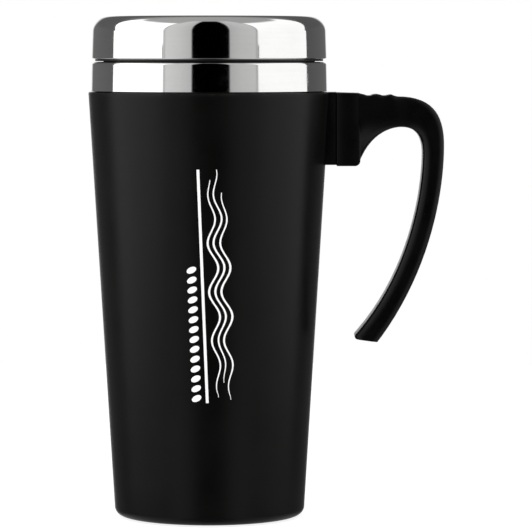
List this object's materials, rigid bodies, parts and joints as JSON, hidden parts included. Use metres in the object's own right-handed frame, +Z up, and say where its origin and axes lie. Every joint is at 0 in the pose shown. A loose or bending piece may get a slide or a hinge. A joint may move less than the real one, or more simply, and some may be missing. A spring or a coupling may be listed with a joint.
{
  "type": "insulated travel mug",
  "caption": "Insulated travel mug with a steel cup in a tapered soft-touch shell, a push-in lid with a sliding drink gate, and an open C-shaped handle.",
  "frame": {"origin": "centre of the rubber foot's sole, on the surface the mug stands on", "axes": "+Z up along the mug's axis, +X towards the handle, the drink hole faces -Y and the drink gate opens towards +Y"},
  "size_m": [0.125, 0.085, 0.1765],
  "materials": {
    "soft_touch_black": "soft-touch matte coating on moulded plastic",
    "black_plastic": "semi-gloss moulded",
    "black_rubber": "matte moulded",
    "silicone": "translucent grey, matte",
    "polished_steel": "mirror-polished stainless steel",
    "brushed_steel": "fine circumferential brushing",
    "zinc_plated_steel": "zinc plated",
    "insulation_foam": "light foam"
  },
  "bodies": {
    "mug": {"outer_shell": "soft_touch_black", "base_cap": "black_plastic", "base_pad": "black_rubber", "inner_liner": "brushed_steel", "insulation_sleeve": "insulation_foam", "insulation_disc": "insulation_foam", "neck_seal": "black_rubber", "steel_collar": "polished_steel", "handle": "black_plastic", "handle_saddle": "black_plastic", "handle_screw_upper": "zinc_plated_steel", "handle_screw_lower": "zinc_plated_steel", "handle_washer_upper": "zinc_plated_steel", "handle_washer_lower": "zinc_plated_steel"},
    "seal": {"lid_seal": "silicone"},
    "lid": {"lid_cover": "polished_steel", "lid_deck": "black_plastic", "lid_plug": "black_plastic"},
    "gate": {"drink_gate": "black_plastic", "gate_seal": "silicone", "gate_clip": "black_plastic"}
  },
  "joints": [
    {"name": "lid_lift", "type": "slide", "parent": "mug", "child": "seal", "axis": [0, 0, 1], "range_m": [0, 0.08]},
    {"name": "lid_turn", "type": "hinge", "parent": "seal", "child": "lid", "pos_m": [0, 0, 0.156], "axis": [0, 0, 1], "continuous": true},
    {"name": "gate_slide", "type": "slide", "parent": "lid", "child": "gate", "axis": [0, 1, 0], "range_m": [0, 0.012]}
  ]
}
